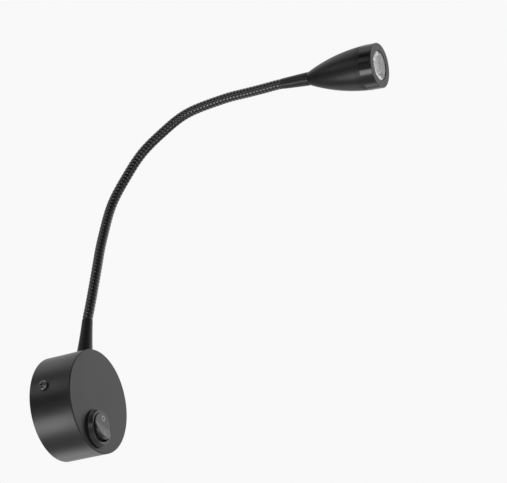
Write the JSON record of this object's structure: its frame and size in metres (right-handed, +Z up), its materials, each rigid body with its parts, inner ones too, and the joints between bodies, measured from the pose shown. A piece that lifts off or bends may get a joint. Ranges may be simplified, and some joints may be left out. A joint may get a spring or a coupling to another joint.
{
  "type": "wall reading lamp",
  "caption": "Bedside wall reading lamp: round switched wall base, bendable neck and a small LED spot head with a clear lens.",
  "frame": {"origin": "the point on the wall midway between the two fixing screws, on the axis of the round base", "axes": "+Y into the wall along the base's axis, so the lamp stands out towards -Y; +Z up; +X to the right as seen by someone facing the wall"},
  "size_m": [0.0846, 0.2736, 0.2946],
  "materials": {
    "black_satin_metal": "satin black powder coat on turned aluminium",
    "black_gloss_metal": "semi-gloss black paint on turned aluminium",
    "neck_metal": "semi-gloss black coating on the wound neck",
    "zinc_steel": "zinc plated steel",
    "bright_ring": "plain turned steel ring",
    "raw_aluminium": "machined",
    "brass_plain": "plain",
    "black_rubber": "matt rubber",
    "grey_foam": "foam tape",
    "white_plastic": "moulded",
    "natural_nylon": "natural nylon",
    "black_plastic": "satin moulded",
    "black_gloss_plastic": "polished moulded",
    "white_board": "white solder mask on an aluminium-core board",
    "led_phosphor": "silicone dome over phosphor",
    "clear_lens": "clear moulded acrylic"
  },
  "bodies": {
    "base": {"base_cup": "black_satin_metal", "wall_bracket": "zinc_steel", "side_screws": "black_gloss_metal", "cable_bush": "black_rubber", "driver_pad": "grey_foam", "led_driver": "white_plastic", "terminal_block": "natural_nylon", "terminal_screws": "zinc_steel", "switch_housing": "black_plastic", "switch_pin": "zinc_steel", "switch_tabs": "brass_plain", "lower_ferrule": "black_gloss_metal", "outer_saddle_washer": "black_rubber", "inner_saddle_washer": "natural_nylon", "lock_washer": "zinc_steel", "lock_nut": "brass_plain"},
    "rocker": {"switch_rocker": "black_gloss_plastic"},
    "neck_01": {"neck_link_01": "neck_metal"},
    "neck_02": {"neck_link_02": "neck_metal"},
    "neck_03": {"neck_link_03": "neck_metal"},
    "neck_04": {"neck_link_04": "neck_metal"},
    "neck_05": {"neck_link_05": "neck_metal"},
    "neck_06": {"neck_link_06": "neck_metal"},
    "neck_07": {"neck_link_07": "neck_metal"},
    "neck_08": {"neck_link_08": "neck_metal"},
    "neck_09": {"neck_link_09": "neck_metal"},
    "neck_10": {"neck_link_10": "neck_metal"},
    "neck_11": {"neck_link_11": "neck_metal"},
    "neck_12": {"neck_link_12": "neck_metal"},
    "neck_13": {"neck_link_13": "neck_metal"},
    "neck_14": {"neck_link_14": "neck_metal"},
    "neck_15": {"neck_link_15": "neck_metal"},
    "neck_16": {"neck_link_16": "neck_metal"},
    "neck_17": {"neck_link_17": "neck_metal"},
    "neck_18": {"neck_link_18": "neck_metal"},
    "head": {"upper_ferrule": "black_gloss_metal", "neck_ring": "bright_ring", "head_housing": "black_gloss_metal", "neck_nut": "brass_plain", "heat_sink": "raw_aluminium", "led_board": "white_board", "led_emitter": "led_phosphor", "board_screws": "zinc_steel", "lens_holder": "black_plastic", "lens": "clear_lens", "lens_gasket": "black_rubber", "front_ring": "black_gloss_metal"}
  },
  "joints": [
    {"name": "switch_rock", "type": "hinge", "parent": "base", "child": "rocker", "pos_m": [0, -0.0342, -0.0225], "axis": [1, 0, 0], "range_deg": [0, 19]},
    {"name": "neck_bend_01", "type": "hinge", "parent": "base", "child": "neck_01", "pos_m": [0, -0.0188, 0.0734], "axis": [1, 0, 0], "range_deg": [-24.07, 9.93]},
    {"name": "neck_bend_02", "type": "hinge", "parent": "neck_01", "child": "neck_02", "pos_m": [0, -0.02078, 0.08938], "axis": [1, 0, 0], "range_deg": [-15.91, 18.09]},
    {"name": "neck_side_03", "type": "hinge", "parent": "neck_02", "child": "neck_03", "pos_m": [0, -0.02246, 0.10539], "axis": [0, -0.9946, -0.1041], "range_deg": [-12, 12]},
    {"name": "neck_bend_04", "type": "hinge", "parent": "neck_03", "child": "neck_04", "pos_m": [0, -0.02413, 0.1214], "axis": [1, 0, 0], "range_deg": [-15.91, 18.09]},
    {"name": "neck_bend_05", "type": "hinge", "parent": "neck_04", "child": "neck_05", "pos_m": [0, -0.0255, 0.13745], "axis": [1, 0, 0], "range_deg": [-22.34, 11.66]},
    {"name": "neck_side_06", "type": "hinge", "parent": "neck_05", "child": "neck_06", "pos_m": [0, -0.02836, 0.15329], "axis": [0, -0.9841, -0.1774], "range_deg": [-12, 12]},
    {"name": "neck_bend_07", "type": "hinge", "parent": "neck_06", "child": "neck_07", "pos_m": [0, -0.03121, 0.16913], "axis": [1, 0, 0], "range_deg": [-27.37, 6.63]},
    {"name": "neck_bend_08", "type": "hinge", "parent": "neck_07", "child": "neck_08", "pos_m": [0, -0.03688, 0.18421], "axis": [1, 0, 0], "range_deg": [-27.65, 6.35]},
    {"name": "neck_side_09", "type": "hinge", "parent": "neck_08", "child": "neck_09", "pos_m": [0, -0.04523, 0.19797], "axis": [0, -0.855, -0.5186], "range_deg": [-12, 12]},
    {"name": "neck_bend_10", "type": "hinge", "parent": "neck_09", "child": "neck_10", "pos_m": [0, -0.05358, 0.21174], "axis": [1, 0, 0], "range_deg": [-28, 6]},
    {"name": "neck_bend_11", "type": "hinge", "parent": "neck_10", "child": "neck_11", "pos_m": [0, -0.0644, 0.22366], "axis": [1, 0, 0], "range_deg": [-30.27, 3.73]},
    {"name": "neck_side_12", "type": "hinge", "parent": "neck_11", "child": "neck_12", "pos_m": [0, -0.07767, 0.23277], "axis": [0, -0.5663, -0.8242], "range_deg": [-12, 12]},
    {"name": "neck_bend_13", "type": "hinge", "parent": "neck_12", "child": "neck_13", "pos_m": [0, -0.09094, 0.24189], "axis": [1, 0, 0], "range_deg": [-33.39, 0.61]},
    {"name": "neck_bend_14", "type": "hinge", "parent": "neck_13", "child": "neck_14", "pos_m": [0, -0.10624, 0.24689], "axis": [1, 0, 0], "range_deg": [-31.42, 2.58]},
    {"name": "neck_side_15", "type": "hinge", "parent": "neck_14", "child": "neck_15", "pos_m": [0, -0.12231, 0.24793], "axis": [0, -0.0643, -0.9979], "range_deg": [-12, 12]},
    {"name": "neck_bend_16", "type": "hinge", "parent": "neck_15", "child": "neck_16", "pos_m": [0, -0.13837, 0.24896], "axis": [1, 0, 0], "range_deg": [-25.25, 8.75]},
    {"name": "neck_bend_17", "type": "hinge", "parent": "neck_16", "child": "neck_17", "pos_m": [0, -0.15442, 0.24768], "axis": [1, 0, 0], "range_deg": [-14.94, 19.06]},
    {"name": "neck_side_18", "type": "hinge", "parent": "neck_17", "child": "neck_18", "pos_m": [0, -0.17051, 0.24698], "axis": [0, 0.0438, -0.999], "range_deg": [-12, 12]},
    {"name": "neck_bend_19", "type": "hinge", "parent": "neck_18", "child": "head", "pos_m": [0, -0.18659, 0.24627], "axis": [1, 0, 0], "range_deg": [-21.49, 12.51]}
  ]
}
